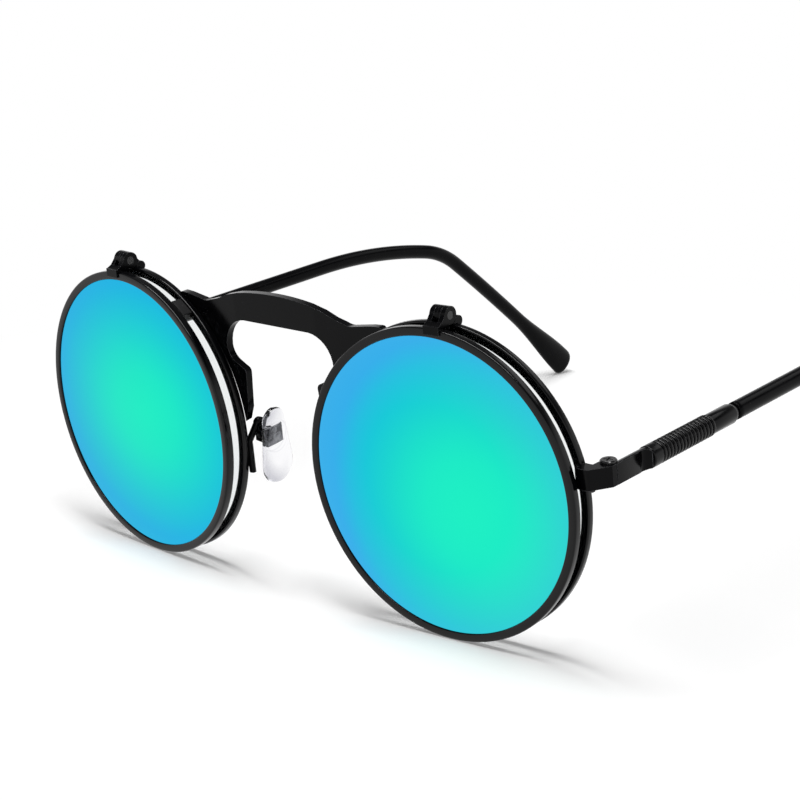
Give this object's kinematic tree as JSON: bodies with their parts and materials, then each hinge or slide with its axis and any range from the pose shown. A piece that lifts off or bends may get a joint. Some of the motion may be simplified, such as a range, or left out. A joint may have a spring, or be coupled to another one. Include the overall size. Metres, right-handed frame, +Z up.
{
  "type": "flip up sunglasses",
  "caption": "Round flip up sunglasses: mirrored lenses on top hinges over clear lenses, keyhole metal bridge plate, folding temples with ribbed sleeves and bent ear socks.",
  "frame": {"origin": "middle of the footprint on the surface where the open glasses stand on the flip rims and the ear socks", "axes": "+X to the wearer's left, +Y back along the temples, -Y the front, +Z up"},
  "size_m": [0.1336, 0.1512, 0.0548],
  "materials": {
    "frame_metal": "satin black coating over nickel silver",
    "screws": "blackened steel screws and pins",
    "core_metal": "plain stainless wire and stamped tab",
    "mirror_lens": "blue to green mirror coating on a plastic lens",
    "clear_lens": "clear lens with a slight grey tint",
    "bumper_rubber": "soft matt black",
    "pad_plastic": "clear soft plastic",
    "sock_plastic": "polished black plastic"
  },
  "bodies": {
    "frame": {"bridge_plate": "frame_metal", "main_rim_left": "frame_metal", "clear_lens_left": "clear_lens", "hinge_post_left": "frame_metal", "rim_lock_left": "frame_metal", "rim_screw_left": "screws", "end_piece_left": "frame_metal", "temple_screw_left": "screws", "pad_arm_left": "frame_metal", "pad_box_left": "frame_metal", "pad_screw_left": "screws", "main_rim_right": "frame_metal", "clear_lens_right": "clear_lens", "hinge_post_right": "frame_metal", "rim_lock_right": "frame_metal", "rim_screw_right": "screws", "end_piece_right": "frame_metal", "temple_screw_right": "screws", "pad_arm_right": "frame_metal", "pad_box_right": "frame_metal", "pad_screw_right": "screws"},
    "flip_left": {"flip_rim_left": "frame_metal", "mirror_lens_left": "mirror_lens", "flip_bracket_left": "frame_metal", "flip_pin_left": "screws", "bumper_left": "bumper_rubber"},
    "pad_left": {"nose_pad_left": "pad_plastic", "pad_insert_left": "core_metal"},
    "temple_left": {"temple_bar_left": "frame_metal", "ribbed_sleeve_left": "frame_metal", "collar_left": "frame_metal", "core_wire_left": "core_metal", "ear_sock_left": "sock_plastic"},
    "flip_right": {"flip_rim_right": "frame_metal", "mirror_lens_right": "mirror_lens", "flip_bracket_right": "frame_metal", "flip_pin_right": "screws", "bumper_right": "bumper_rubber"},
    "pad_right": {"nose_pad_right": "pad_plastic", "pad_insert_right": "core_metal"},
    "temple_right": {"temple_bar_right": "frame_metal", "ribbed_sleeve_right": "frame_metal", "collar_right": "frame_metal", "core_wire_right": "core_metal", "ear_sock_right": "sock_plastic"}
  },
  "joints": [
    {"name": "lens_flip_left", "type": "hinge", "parent": "frame", "child": "flip_left", "pos_m": [0.03774, -0.07171, 0.05336], "axis": [-0.9965, -0.0834, -0.0072], "range_deg": [0, 100]},
    {"name": "temple_fold_left", "type": "hinge", "parent": "frame", "child": "temple_left", "pos_m": [0.06386, -0.0644, 0.03135], "axis": [0, -0.086, 0.9963], "range_deg": [0, 86]},
    {"name": "pad_tilt_left", "type": "hinge", "parent": "frame", "child": "pad_left", "pos_m": [0.00925, -0.06704, 0.02566], "axis": [0, 0.9784, 0.2067], "range_deg": [-4, 8]},
    {"name": "lens_flip_right", "type": "hinge", "parent": "frame", "child": "flip_right", "pos_m": [-0.03774, -0.07171, 0.05336], "axis": [-0.9965, 0.0834, 0.0072], "range_deg": [0, 100]},
    {"name": "temple_fold_right", "type": "hinge", "parent": "frame", "child": "temple_right", "pos_m": [-0.06386, -0.0644, 0.03135], "axis": [0, 0.086, -0.9963], "range_deg": [0, 79]},
    {"name": "pad_tilt_right", "type": "hinge", "parent": "frame", "child": "pad_right", "pos_m": [-0.00925, -0.06704, 0.02566], "axis": [0, -0.9784, -0.2067], "range_deg": [-4, 8]}
  ]
}
